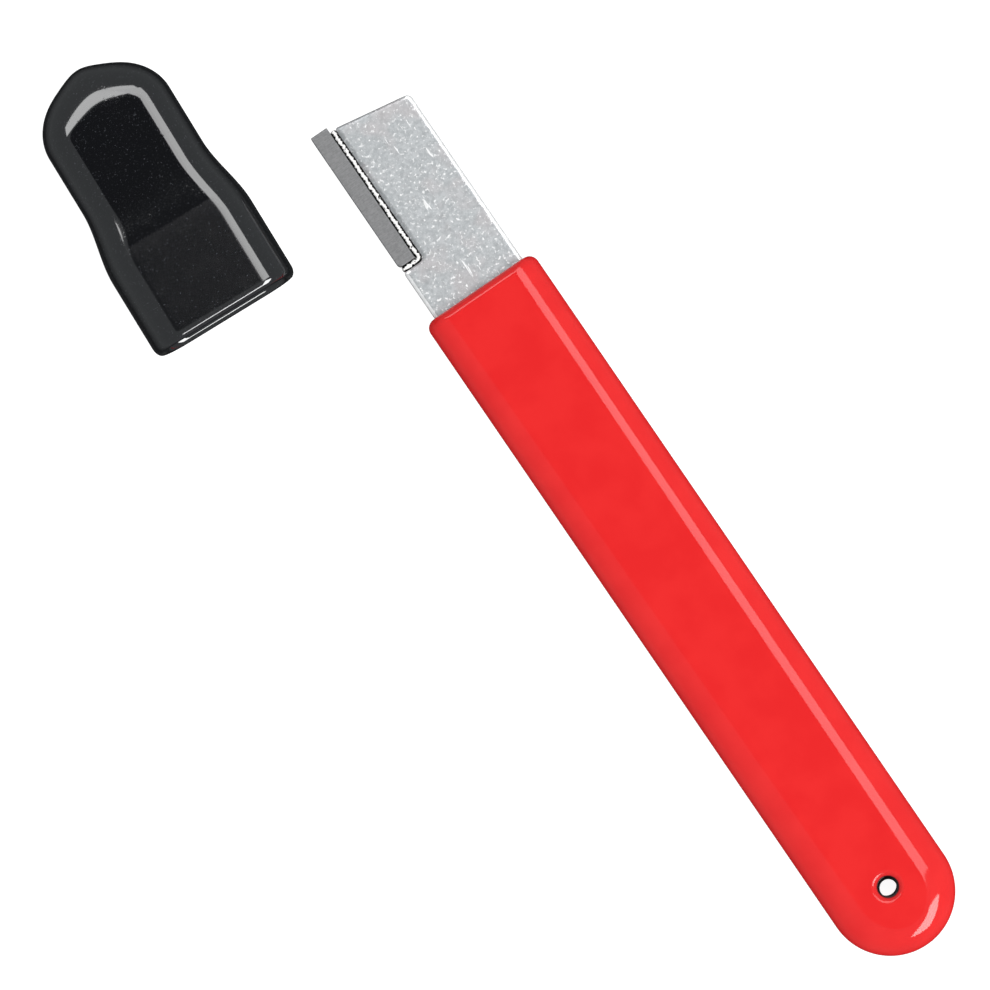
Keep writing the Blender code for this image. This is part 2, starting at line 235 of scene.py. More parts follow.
@dataclass(frozen=True)
class PlanOutline:
    """A filleted polygon seen from above, listed anticlockwise, that can be drawn at any inset."""

    corners: tuple[Corner, ...]
    smallest_radius: float = 0.03

    def rings(self, side: np.ndarray, end: np.ndarray) -> np.ndarray:
        """Draws the outline once for each inset, always with the same number of points.

        Each edge moves inwards by its inset, the moved edges meet again in new corners, and each
        corner gets an arc whose radius has shrunk by the inset, or grown where it is hollow.

        Args:
            side: inset of the long edges, one for each ring.
            end: inset of the edges marked as end edges, one for each ring.

        Returns:
            Points, rings by columns by two.
        """
        at = np.array([(c.x, c.y) for c in self.corners])
        along = np.roll(at, -1, 0) - at
        along /= np.linalg.norm(along, axis=1, keepdims=True)
        inward = np.stack([-along[:, 1], along[:, 0]], 1)
        before, came = np.roll(inward, 1, 0), np.roll(along, 1, 0)
        marked = np.array([c.end_edge for c in self.corners])
        inset = np.where(marked, end[:, None], side[:, None])
        line = (inward * at).sum(1) + inset
        limits = np.stack([np.roll(line, 1, 1), line], -1)
        meet = np.einsum("kij,rkj->rki", np.linalg.inv(np.stack([before, inward], 1)), limits)
        turn = np.arctan2(came[:, 0] * along[:, 1] - came[:, 1] * along[:, 0], (came * along).sum(1))
        sign = np.sign(turn)
        radius = np.array([c.radius for c in self.corners])
        depth = np.minimum(np.roll(inset, 1, 1), inset)
        radius = np.where(sign > 0, np.maximum(radius - depth, self.smallest_radius), radius + depth)
        middle = (before + inward) / (1 + (before * inward).sum(1))[:, None]
        centre = meet + (sign * radius)[..., None] * middle
        arcs = []
        for k, corner in enumerate(self.corners):
            angle = np.linspace(0.0, turn[k], corner.steps)
            spoke = np.stack(
                [
                    before[k, 0] * np.cos(angle) - before[k, 1] * np.sin(angle),
                    before[k, 0] * np.sin(angle) + before[k, 1] * np.cos(angle),
                ],
                -1,
            )
            arcs.append(centre[:, k, None] - sign[k] * radius[:, k, None, None] * spoke)
        parts = []
        for k, corner in enumerate(self.corners):
            leave, reach = arcs[k][:, -1:], arcs[(k + 1) % len(arcs)][:, :1]
            t = (np.arange(corner.run) + 1.0)[None, :, None] / (corner.run + 1.0)
            parts += [arcs[k], leave + (reach - leave) * t]
        return np.concatenate(parts, 1)

    def columns(self) -> int:
        """Counts the points of one ring."""
        return sum(c.steps + c.run for c in self.corners)

    def spokes(self) -> np.ndarray:
        """Gives each column its angle round the hang hole.

        The first and last corners are the two halves of the round tail and keep their own angles,
        from -90 to 0 and from 180 to 270 degrees. Everything between is spread evenly from 0 to 180.

        Returns:
            One angle in radians for each column.
        """
        first, last = self.corners[0].steps, self.corners[-1].steps
        between = self.columns() - first - last
        return np.radians(
            np.concatenate(
                [
                    np.linspace(-90, 0, first),
                    np.linspace(0, 180, between + 2)[1:-1],
                    np.linspace(180, 270, last),
                ]
            )
        )


@dataclass(frozen=True)
class EdgeRound:
    """The rounded edge of a plate in section: a quarter ellipse, a short wall and its mirror image."""

    half: float
    across: float
    up: float

    def rows(self, arc: int, wall: int) -> tuple[np.ndarray, np.ndarray]:
        """Walks down the edge from the upper face to the lower one.

        On the ellipse the inset is across times (1 - sin t) and the height is half - up times
        (1 - cos t), for t from 0 at the face to 90 degrees at the wall.

        Args:
            arc: rows on each ellipse.
            wall: rows between the two ellipses.

        Returns:
            Inset from the outline and height above the middle, one each for each row.
        """
        t = np.linspace(0.0, np.pi / 2, arc)
        inset, height = self.across * (1 - np.sin(t)), self.half - self.up * (1 - np.cos(t))
        straight = np.linspace(height[-1], -height[-1], wall + 2)[1:-1]
        return (
            np.concatenate([inset, np.zeros(wall), inset[::-1]]),
            np.concatenate([height, straight, -height[::-1]]),
        )


def lift(flat: np.ndarray, height: np.ndarray) -> np.ndarray:
    """Gives each ring of plan points its height.

    Args:
        flat: plan points, rows by columns by two.
        height: one height for each row.

    Returns:
        Points, rows by columns by three.
    """
    return np.dstack([flat, np.broadcast_to(height[:, None], flat.shape[:2])])


def fan(inner: np.ndarray, outer: np.ndarray, steps: int) -> np.ndarray:
    """Fills a face between two rings with rings that stand closer together near both.

    Args:
        inner: one ring, columns by three.
        outer: the other ring, in the same order.
        steps: rings between them.

    Returns:
        The rings between, steps by columns by three.
    """
    t = (1 - np.cos(np.pi * (np.arange(steps) + 1.0) / (steps + 1.0))) / 2
    return inner + (outer - inner) * t[:, None, None]


def pierced_plate(
    outline: PlanOutline,
    centre: tuple[float, float],
    bore: np.ndarray,
    edge: np.ndarray,
    steps: int,
    taper: float = 0.0,
) -> np.ndarray:
    """Wraps one grid round a plate with a hole: up the bore, over the face, round the edge and back.

    Args:
        outline: plan of the plate.
        centre: middle of the hole.
        bore: radius, height and shift along Y of the upper half of the bore, from waist to rim.
        edge: side inset, end inset and height of each edge row, from the upper face to the lower.
        steps: rings on each face.
        taper: share of its width that the flat face loses from the head to the tail.

    Returns:
        Points, rows by columns by three, whose last row joins the first.
    """
    angle = outline.spokes()
    circle = np.stack([np.cos(angle), np.sin(angle)], -1)
    middle = np.array(centre) + bore[:, 2, None, None] * np.array([0.0, 1.0])
    upper = lift(middle + bore[:, 0, None, None] * circle, bore[:, 1])
    side = lift(outline.rings(edge[:, 0], edge[:, 1]), edge[:, 2])
    fall = (side[..., 1].max() - side[..., 1]) / np.ptp(side[..., 1])
    side[..., 0] *= 1 - taper * fall * (edge[:, 0] / edge[:, 0].max())[:, None]
    lower = upper[1:][::-1] * np.array([1.0, 1.0, -1.0])
    return np.concatenate(
        [upper, fan(upper[-1], side[0], steps), side, fan(side[-1], lower[0], steps), lower]
    )


# ---------------------------------------------------------------- finishes


class Bench:
    """A material's node tree, with short calls for the nodes that the finishes share."""

    def __init__(self, name: str) -> None:
        """Starts a material with a Principled shader on its output."""
        self.material = bpy.data.materials.new(name)
        self.material.use_nodes = True
        self.tree = self.material.node_tree
        self.tree.nodes.clear()
        self.shader = self.add("ShaderNodeBsdfPrincipled")
        self.link(self.shader.outputs[0], self.add("ShaderNodeOutputMaterial").inputs[0])
        self.place = self.add("ShaderNodeTexCoord").outputs["Object"]

    def add(self, kind: str) -> bpy.types.Node:
        """Adds a node of a kind."""
        return self.tree.nodes.new(kind)

    def link(self, source: bpy.types.NodeSocket, target: bpy.types.NodeSocket) -> None:
        """Links two sockets."""
        self.tree.links.new(source, target)

    def fix(self, **values: float | Colour) -> None:
        """Sets constants on the shader, with underscores for spaces in the socket names."""
        for key, value in values.items():
            whole = (*value, 1.0) if isinstance(value, tuple) else value
            self.shader.inputs[key.replace("_", " ")].default_value = whole

    def feed(self, socket: bpy.types.NodeSocket, name: str) -> None:
        """Links a socket to a named input of the shader."""
        self.link(socket, self.shader.inputs[name])

    def mapped(self, stretch: Colour, turn: float) -> bpy.types.NodeSocket:
        """Stretches the object's own coordinates and turns them about Z.

        Args:
            stretch: scale on the three axes.
            turn: turn about Z in degrees.

        Returns:
            The mapped coordinates.
        """
        node = self.add("ShaderNodeMapping")
        node.inputs["Scale"].default_value = stretch
        node.inputs["Rotation"].default_value = (0.0, 0.0, math.radians(turn))
        self.link(self.place, node.inputs["Vector"])
        return node.outputs[0]

    def noise(
        self, size: float, detail: float = 3.0, stretch: Colour = (1.0, 1.0, 1.0), turn: float = 0.0
    ) -> bpy.types.NodeSocket:
        """Adds fractal noise.

        Args:
            size: size of its largest features, in millimetres.
            detail: how many finer octaves it holds.
            stretch: scale of the coordinates on the three axes.
            turn: turn of the coordinates about Z in degrees.

        Returns:
            Its value, about 0.3 to 0.7.
        """
        node = self.add("ShaderNodeTexNoise")
        node.inputs["Scale"].default_value = 1.0 / (size * MM)
        node.inputs["Detail"].default_value = detail
        self.link(self.mapped(stretch, turn), node.inputs["Vector"])
        return node.outputs[0]

    def cells(self, size: float) -> bpy.types.NodeSocket:
        """Adds a Voronoi pattern of cells of a size in millimetres, and gives the distance to each middle."""
        node = self.add("ShaderNodeTexVoronoi")
        node.inputs["Scale"].default_value = 1.0 / (size * MM)
        self.link(self.place, node.inputs["Vector"])
        return node.outputs["Distance"]

    def span(
        self, source: bpy.types.NodeSocket, low: float, high: float, to_low: float = 0.0, to_high: float = 1.0
    ) -> bpy.types.NodeSocket:
        """Maps low to high smoothly on to another range, and holds it at both ends.

        Args:
            source: value to map.
            low: value that gives to_low.
            high: value that gives to_high.
            to_low: lowest result.
            to_high: highest result.

        Returns:
            The mapped value.
        """
        node = self.add("ShaderNodeMapRange")
        node.interpolation_type = "SMOOTHSTEP"
        for key, value in (("From Min", low), ("From Max", high), ("To Min", to_low), ("To Max", to_high)):
            node.inputs[key].default_value = value
        self.link(source, node.inputs["Value"])
        return node.outputs[0]

    def combine(
        self, operation: str, first: bpy.types.NodeSocket, second: bpy.types.NodeSocket
    ) -> bpy.types.NodeSocket:
        """Joins two values by a math operation.

        Args:
            operation: name of the Math node's operation.
            first: first value.
            second: second value.

        Returns:
            The result.
        """
        node = self.add("ShaderNodeMath")
        node.operation = operation
        self.link(first, node.inputs[0])
        self.link(second, node.inputs[1])
        return node.outputs[0]

    def blend(
        self,
        amount: bpy.types.NodeSocket,
        first: Colour | bpy.types.NodeSocket,
        second: Colour | bpy.types.NodeSocket,
    ) -> bpy.types.NodeSocket:
        """Mixes two colours.

        Args:
            amount: 0 for the first colour and 1 for the second.
            first: colour or socket.
            second: colour or socket.

        Returns:
            The mixed colour.
        """
        node = self.add("ShaderNodeMix")
        node.data_type = "RGBA"
        self.link(amount, node.inputs[0])
        for socket, value in ((node.inputs[6], first), (node.inputs[7], second)):
            if isinstance(value, tuple):
                socket.default_value = (*value, 1.0)
            else:
                self.link(value, socket)
        return node.outputs[2]

    def shade(self) -> bpy.types.NodeSocket:
        """Reads the number that the piece's skin carries at each point."""
        node = self.add("ShaderNodeAttribute")
        node.attribute_name = "shade"
        return node.outputs["Fac"]

    def emboss(
        self, height: bpy.types.NodeSocket, depth: float, under: bpy.types.NodeSocket | None = None
    ) -> bpy.types.NodeSocket:
        """Raises a bump.

        Args:
            height: height pattern, 0 to 1.
            depth: height of the pattern in millimetres.
            under: normal that it lies on.

        Returns:
            The new normal.
        """
        node = self.add("ShaderNodeBump")
        node.inputs["Strength"].default_value = 1.0
        node.inputs["Distance"].default_value = depth * MM
        self.link(height, node.inputs["Height"])
        if under is not None:
            self.link(under, node.inputs["Normal"])
        return node.outputs[0]


@dataclass(frozen=True)
class RedVinyl:
    """Glossy dipped vinyl, with slow waves from the dip, faint mottling and painted shade darkening the hang
    hole's bore.
    """

    body: Colour = (0.69, 0.022, 0.022)
    deep: Colour = (0.66, 0.018, 0.019)
    # painted shade: near-black colour that stands in for the shadow inside the hang hole's bore
    hole: Colour = (0.006, 0.001, 0.001)
    roughness: float = 0.07
    wave_size: float = 9.0
    wave_depth: float = 0.012
    peel_size: float = 0.8
    peel_depth: float = 0.0006

    def build(self) -> bpy.types.Material:
        """Makes the material."""
        bench = Bench("red_dipped_vinyl")
        bench.fix(Roughness=self.roughness, IOR=1.45)
        mottle = bench.span(bench.noise(6.0, 5.0), 0.35, 0.65)
        skin = bench.blend(mottle, self.body, self.deep)
        # painted shade: the shade attribute turns the hang hole's bore near black
        bench.feed(bench.blend(bench.shade(), skin, self.hole), "Base Color")
        waves = bench.emboss(bench.noise(self.wave_size, 1.0, (1.0, 0.6, 1.0)), self.wave_depth)
        bench.feed(bench.emboss(bench.noise(self.peel_size, 2.0), self.peel_depth, waves), "Normal")
        return bench.material


@dataclass(frozen=True)
class BlackVinyl:
    """Glossy black dipped vinyl: pimpled in patches, specked, and duller on the skirt."""

    body: Colour = (0.0035, 0.0038, 0.0048)
    speck: Colour = (0.040, 0.042, 0.048)
    gloss: float = 0.08
    satin: float = 0.17
    pimple_size: float = 0.5
    pimple_depth: float = 0.0045
    wave_size: float = 7.0
    wave_depth: float = 0.010

    def build(self) -> bpy.types.Material:
        """Makes the material."""
        bench = Bench("black_dipped_vinyl")
        bench.fix(IOR=1.7, Coat_Weight=1.0, Coat_Roughness=0.03)
        patches = bench.span(bench.noise(2.6, 4.0), 0.46, 0.70)
        dots = bench.span(bench.cells(self.pimple_size), 0.34, 0.12)
        pimples = bench.combine("MULTIPLY", dots, patches)
        specks = bench.span(bench.noise(0.22, 2.0), 0.62, 0.74)
        bench.feed(bench.blend(specks, self.body, self.speck), "Base Color")
        dull = bench.span(bench.shade(), 0.0, 1.0, self.gloss, self.satin)
        bench.feed(bench.combine("ADD", dull, bench.span(patches, 0.0, 1.0, 0.0, 0.015)), "Roughness")
        waves = bench.emboss(bench.noise(self.wave_size, 1.0), self.wave_depth)
        bench.feed(bench.emboss(pimples, self.pimple_depth, waves), "Normal")
        return bench.material


@dataclass(frozen=True)
class PlatedSteel:
    """Bright plating on flat stock: cloudy mottling, tiny bright flecks, a few short scratches, and a painted
    highlight along the rounded long edges.
    """

    body: Colour = (0.445, 0.46, 0.47)
    cloud: Colour = (0.35, 0.365, 0.375)
    fleck: Colour = (0.75, 0.75, 0.75)
    blush: Colour = (0.45, 0.415, 0.42)
    # painted highlight: near-white colour for the rounded long edges, standing in for their reflection
    painted_edge_highlight: Colour = (0.95, 0.95, 0.95)
    metal: float = 0.55
    grain_size: float = 0.30
    grain_depth: float = 0.006

    def build(self) -> bpy.types.Material:
        """Makes the material."""
        bench = Bench("plated_steel_skin")
        bench.fix(Metallic=self.metal)
        clouds = bench.span(bench.noise(0.45, 6.0), 0.36, 0.64)
        tint = bench.blend(clouds, self.body, self.cloud)
        tint = bench.blend(bench.span(bench.noise(4.5, 2.0), 0.48, 0.68, 0.0, 0.5), tint, self.blush)
        flecks = bench.span(bench.noise(0.42, 4.0), 0.55, 0.72)
        marks = bench.combine(
            "MAXIMUM",
            bench.span(bench.noise(0.5, 2.0, (1.0, 0.16, 1.0), 38.0), 0.70, 0.74),
            bench.span(bench.noise(0.6, 2.0, (1.0, 0.12, 1.0), -24.0), 0.71, 0.75),
        )
        bright = bench.combine("MAXIMUM", flecks, marks)
        # painted highlight: the shade attribute lightens the rounded long edges towards near white
        bench.feed(bench.blend(bench.shade(), bench.blend(bright, tint, self.fleck), self.painted_edge_highlight), "Base Color")
        bench.feed(bench.span(bench.noise(0.9, 4.0), 0.3, 0.7, 0.30, 0.52), "Roughness")
        grain = bench.emboss(bench.noise(self.grain_size, 4.0), self.grain_depth)
        bench.feed(bench.emboss(bright, 0.008, grain), "Normal")
        return bench.material


@dataclass(frozen=True)
class GroundCarbide:
    """Dull grey sintered carbide with fine grinding lines across it."""

    body: Colour = (0.225, 0.225, 0.228)
    dark: Colour = (0.165, 0.165, 0.168)
    metal: float = 0.45

    def build(self) -> bpy.types.Material:
        """Makes the material."""
        bench = Bench("ground_carbide_face")
        bench.fix(Metallic=self.metal)
        lines = bench.noise(0.12, 3.0, (0.12, 1.0, 0.5), 12.0)
        grain = bench.span(bench.combine("ADD", lines, bench.noise(0.25, 4.0)), 0.7, 1.3)
        bench.feed(bench.blend(grain, self.body, self.dark), "Base Color")
        bench.feed(bench.span(lines, 0.3, 0.7, 0.38, 0.50), "Roughness")
        bench.feed(bench.emboss(grain, 0.004), "Normal")
        return bench.material


@dataclass(frozen=True)
class BrazeMetal:
    """Bright silver filler, frozen in lumps, with dark pitting where the flux burned away, and painted shade
    darkening the bead's flanks.
    """

    body: Colour = (0.90, 0.89, 0.87)
    # near black, used both for the real pitting and for the painted shade on the flanks
    pit_and_flank_shade: Colour = (0.03, 0.03, 0.03)

    def build(self) -> bpy.types.Material:
        """Makes the material."""
        bench = Bench("silver_braze_metal")
        bench.fix(Metallic=0.2)
        pits_and_flank_shade = bench.span(bench.noise(0.35, 4.0, (1.0, 0.6, 1.0)), 0.62, 0.68)
        # painted shade: the shade attribute darkens the bead's flanks, on top of the real pitting
        pits_and_flank_shade = bench.combine("MAXIMUM", pits_and_flank_shade, bench.shade())
        bench.feed(bench.blend(pits_and_flank_shade, self.body, self.pit_and_flank_shade), "Base Color")
        bench.feed(bench.span(bench.noise(0.5, 3.0), 0.3, 0.7, 0.22, 0.42), "Roughness")
        bench.feed(bench.emboss(bench.noise(0.4, 4.0), 0.06), "Normal")
        return bench.material


@dataclass(frozen=True)
class PaleFloor:
    """Matt paper that glows so strongly that it looks white and shows no shadow."""

    body: Colour = (0.37, 0.37, 0.37)
    shade: Colour = (0.34, 0.34, 0.34)
    glow: float = 0.93

    def build(self) -> bpy.types.Material:
        """Makes the material."""
        bench = Bench("pale_paper")
        bench.fix(Roughness=0.95, Emission_Color=(1.0, 1.0, 1.0), Emission_Strength=self.glow)
        bench.fix(Specular_IOR_Level=0.0)
        clouds = bench.span(bench.noise(60.0, 2.0), 0.3, 0.7)
        bench.feed(bench.blend(clouds, self.body, self.shade), "Base Color")
        return bench.material


# ---------------------------------------------------------------- the tool


def mount(piece: bpy.types.Object, finish: bpy.types.Material, body: Body, node: str) -> None:
    """Dresses a piece, lets it ride on its body and hides the node that it stands for.

    Args:
        piece: the new piece.
        finish: its material.
        body: body that it moves with.
        node: frame node that it replaces.
    """
    piece.data.materials.append(finish)
    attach(piece, body.value)
    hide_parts(node)
    LOG.info("%s rides on %s and stands for %s", piece.name, body.value, node)


@dataclass
class DippedGrip:
    """The red vinyl dipped on to the bar: rounded sides, round tail, lined hang hole and open mouth."""

    finish: RedVinyl = field(default_factory=RedVinyl)
    side_across: float = 3.3
    side_up: float = 2.9
    lip: float = 1.25
    mouth_corner: float = 1.25
    face_taper: float = 0.15
    hole_waist: float = 1.10
    hole_rim: float = 1.30
    hole_skew: float = -0.30
    dimple_out: float = 2.15
    dimple_depth: float = 0.42
    steel_gap: float = 0.04
    lining_out: float = 2.2
    slot_round: float = 0.5
    slot_lip: float = 0.12
    roof_side: float = 2.0
    roof_tail: float = 1.5
    face_steps: int = 44

    def __post_init__(self) -> None:
        """Reads the grip's and the bar's boxes and derives what follows from them."""
        self.low, self.high = node_box("grip")
        self.bar_low, self.bar_high = node_box("steel_bar")
        self.middle = (self.low[2] + self.high[2]) / 2
        self.half = (self.high[2] - self.low[2]) / 2
        self.wide = (self.high[0] - self.low[0]) / 2
        self.bar_half = (self.bar_high[2] - self.bar_low[2]) / 2 + self.steel_gap
        self.bar_wide = self.bar_high[0] + self.steel_gap
        self.hole = (0.0, self.low[1] + self.wide + HOLE_AHEAD)

    def plan(self, wide: float, tail: float, mouth: float, corner: float) -> PlanOutline:
        """Lays out a strip with a round tail and a square mouth.

        Args:
            wide: half of its width.
            tail: Y of its tail.
            mouth: Y of its mouth.
            corner: radius of the two mouth corners.

        Returns:
            The outline, whose first and last corners are the halves of the tail.
        """
        return PlanOutline(
            (
                Corner(wide, tail, wide - 0.01, 40, 90),
                Corner(wide, mouth, corner, 10, 24, True),
                Corner(-wide, mouth, corner, 10, 90),
                Corner(-wide, tail, wide - 0.01, 40, 0),
            )
        )

    def outer_bore(self) -> np.ndarray:
        """Draws the lined hole and its dimple.

        The bore widens from its waist with the square of the height, and its waist sits a little
        towards the tail. The dimple's radius grows from the rim to its outer edge while its depth
        falls away as half a cosine wave.

        Returns:
            Radius, height and shift along Y of each row, from the waist to the face.
        """
        rim_z = self.half - self.dimple_depth
        t = np.linspace(0.0, 1.0, 9)
        bore = np.stack(
            [
                self.hole_waist + (self.hole_rim - self.hole_waist) * t**2,
                rim_z * t,
                self.hole_skew * (1 - t**2),
            ],
            -1,
        )
        t = np.linspace(0.0, 1.0, 15)[1:]
        dimple = np.stack(
            [
                self.hole_rim + (self.dimple_out - self.hole_rim) * t**1.4,
                self.half - self.dimple_depth * (0.5 + 0.5 * np.cos(np.pi * t)) ** 1.3,
                np.zeros(len(t)),
            ],
            -1,
        )
        return np.concatenate([bore, dimple])

    def outer_edge(self, shoulder: int, side: int) -> np.ndarray:
        """Draws the rounded side and, in the same rows, the tighter lip at the mouth.

        Args:
            shoulder: rows from the face down to the slot's level.
            side: rows from there to the same level below.

        Returns:
            Side inset, end inset and height of each row.
        """
        level = self.half - self.lip - 0.10
        bend = math.acos(1 - (self.half - level) / self.side_up)
        t = np.concatenate(
            [np.linspace(0.0, bend, shoulder), np.linspace(bend, np.pi / 2, side // 2 + 1)[1:]]
        )
        inset, z = self.side_across * (1 - np.sin(t)), self.half - self.side_up * (1 - np.cos(t))
        inset, z = np.concatenate([inset, inset[::-1]]), np.concatenate([z, -z[::-1]])
        rise = np.clip(np.abs(z) - (self.half - self.lip), 0.0, self.lip)
        return np.stack([inset, self.lip - np.sqrt(self.lip**2 - rise**2), z], -1)

    def inner_edge(self, shoulder: int, side: int) -> np.ndarray:
        """Draws the space for the bar with as many rows as the outer edge has.

        Args:
            shoulder: rows on the upper wall of the space.
            side: rows round its side.

        Returns:
            Side inset, end inset and height of each row.
        """
        top = self.bar_half
        t = np.linspace(0.0, 1.0, shoulder)
        roof_inset = self.roof_side + (self.slot_round - self.roof_side) * t
        roof = np.stack([roof_inset, self.roof_tail * (1 - t), np.full(shoulder, top)], -1)
        turn = np.linspace(0.0, np.pi / 2, side // 2 + 1)[1:]
        wall = np.stack(
            [
                self.slot_round * (1 - np.sin(turn)),
                np.zeros(len(turn)),
                top - self.slot_round * (1 - np.cos(turn)),
            ],
            -1,
        )
        upper = np.concatenate([roof, wall])
        return np.concatenate([upper, upper[::-1] * np.array([1.0, 1.0, -1.0])])

    def build(self) -> bpy.types.Object:
        """Makes the grip: an outer skin and the bar's space, joined round the slot in the mouth.

        Returns:
            The finished grip.
        """
        shoulder, side = 16, 16
        outline = self.plan(self.wide, self.low[1], self.high[1], self.mouth_corner)
        bore = self.outer_bore()
        outer = pierced_plate(
            outline, self.hole, bore, self.outer_edge(shoulder, side), self.face_steps, self.face_taper
        )
        space = self.plan(
            self.bar_wide, self.bar_low[1] - self.steel_gap, self.high[1] - self.slot_lip, 0.02
        )
        lining = np.stack(
            [
                np.full(len(bore), self.lining_out),
                self.bar_half * np.linspace(0, 1, len(bore)),
                np.zeros(len(bore)),
            ],
            -1,
        )
        inner = pierced_plate(space, self.hole, lining, self.inner_edge(shoulder, side), self.face_steps)
        lifted = np.array([0.0, 0.0, self.middle])
        start = len(bore) + self.face_steps + shoulder - 1
        stop = start + side + 1
        left = outline.corners[0].steps + outline.corners[0].run + outline.corners[1].steps - 1
        right = left + outline.corners[1].run + 1
        # painted shade: the bore rows and the inner part of the dimple are darkened towards the near-black
        # hole colour
        dark = np.zeros(outer.shape[:2])
        reach = 1.0 - ease(bore[:, 1], self.half - self.dimple_depth, self.half - self.dimple_depth * 0.6)
        dark[: len(bore)] = reach[:, None]
        dark[1 - len(bore) :] = reach[1:][::-1, None]
        skin = Skin()
        window = (start, stop, left, right)
        a = skin.add_grid(outer + lifted, True, True, window, dark)
        b = skin.add_grid(inner + lifted, True, True, window)
        skin.bridge(self.loop(a, window), self.loop(b, window))
        piece = skin.make("dipped_grip")
        mount(piece, self.finish.build(), Body.TOOL, "grip")
        return piece

    @staticmethod
    def loop(index: np.ndarray, window: tuple[int, int, int, int]) -> np.ndarray:
        """Lists the point numbers round a window of a grid.

        Args:
            index: point numbers, rows by columns.
            window: first row, last row, first column and last column.

        Returns:
            The closed loop, without repeating its first point.
        """
        top, bottom, left, right = window
        return np.concatenate(
            [
                index[top, left:right],
                index[top:bottom, right],
                index[bottom, right:left:-1],
                index[bottom:top:-1, left],
            ]
        )


@dataclass
class FlatBar:
    """The plated bar: slanted head, stepped seat for the carbide, and hidden tang with its own hole."""

    finish: PlatedSteel = field(default_factory=PlatedSteel)
    slant: float = 9.3
    head_corner: float = 0.8
    seat_x: float = -3.58
    seat_y: float = 56.7
    seat_corner: float = 0.7
    mouth_radius: float = 0.35
    edge_across: float = 0.60
    edge_up: float = 0.32
    hole_radius: float = 2.4
    edge_highlight_from: tuple[float, float] = (0.004, 0.02)
    edge_highlight_to: tuple[float, float] = (0.2, 0.31)
    edge_highlight_side: tuple[float, float] = (0.8, 0.6)
    face_steps: int = 40

    def __post_init__(self) -> None:
        """Reads the bar's and the grip's boxes."""
        self.low, self.high = node_box("steel_bar")
        grip_low, grip_high = node_box("grip")
        self.hole = (0.0, grip_low[1] + (grip_high[0] - grip_low[0]) / 2 + HOLE_AHEAD)

    def build(self) -> bpy.types.Object:
        """Makes the bar as one grid round its plate.

        The painted edge highlight is 1 between two depths below the faces, and only near the two long sides.

        Returns:
            The finished bar.
        """
        wide, half = self.high[0], (self.high[2] - self.low[2]) / 2
        top_left = self.high[1] + 0.02
        top_right = top_left - (wide - self.seat_x) * math.tan(math.radians(self.slant))
        outline = PlanOutline(
            (
                Corner(wide, self.low[1], wide - 0.01, 32, 90),
                Corner(wide, top_right, self.head_corner, 9, 20),
                Corner(self.seat_x, top_left, self.mouth_radius, 7, 24),
                Corner(self.seat_x, self.seat_y, self.seat_corner, 8, 6),
                Corner(-wide, self.seat_y, self.mouth_radius, 7, 80),
                Corner(-wide, self.low[1], wide - 0.01, 32, 0),
            )
        )
        inset, height = EdgeRound(half, self.edge_across, self.edge_up).rows(9, 3)
        rows = np.stack([inset, inset, height], -1)
        wall = np.linspace(0.0, half - 0.2, 4)
        bore = np.concatenate(
            [
                np.stack([np.full(4, self.hole_radius), wall, np.zeros(4)], -1),
                np.array([[self.hole_radius + 0.2, half, 0.0]]),
            ]
        )
        grid = pierced_plate(outline, self.hole, bore, rows, self.face_steps)
        depth = half - np.abs(grid[..., 2])
        # painted highlight: a near-white band on the rounded long edges, standing in for their reflection
        painted_edge_highlight = ease(depth, *self.edge_highlight_from) * (1 - ease(depth, *self.edge_highlight_to))
        painted_edge_highlight = painted_edge_highlight * ease(np.abs(grid[..., 0]), *(wide - inset for inset in self.edge_highlight_side))
        skin = Skin()
        skin.add_grid(grid + np.array([0.0, 0.0, (self.low[2] + self.high[2]) / 2]), True, True, shade=painted_edge_highlight)
        piece = skin.make("flat_bar")
        mount(piece, self.finish.build(), Body.TOOL, "steel_bar")
        return piece


@dataclass
class CarbideTip:
    """The carbide insert: a small square-ended block with ground faces."""

    finish: GroundCarbide = field(default_factory=GroundCarbide)
    corner: float = 0.10
    worn_corner: float = 0.55
    edge: float = 0.10

    def build(self) -> bpy.types.Object:
        """Makes the insert, with its faces closed along a spine.

        Returns:
            The finished insert.
        """
        low, high = node_box("carbide_insert")
        half = (high[2] - low[2]) / 2
        outline = PlanOutline(
            (
                Corner(high[0], low[1], self.corner, 6, 30),
                Corner(high[0], high[1], self.corner, 6, 4),
                Corner(low[0], high[1], self.corner, 6, 30),
                Corner(low[0], low[1], self.worn_corner, 6, 4),
            ),
            0.01,
        )
        inset, height = EdgeRound(half, self.edge, self.edge).rows(6, 3)
        side = lift(outline.rings(inset, inset), height)
        middle = (low + high) / 2
        hub = np.zeros((1, side.shape[1], 3))
        hub[0] = [middle[0], middle[1], half]
        flat_hub = hub * np.array([1.0, 1.0, -1.0])
        grid = np.concatenate([hub, fan(hub[0], side[0], 8), side, fan(side[-1], flat_hub[0], 8), flat_hub])
        skin = Skin()
        skin.add_grid(grid + np.array([0.0, 0.0, middle[2]]), False, True)
        piece = skin.make("carbide_tip")
        mount(piece, self.finish.build(), Body.TOOL, "carbide_insert")
        return piece


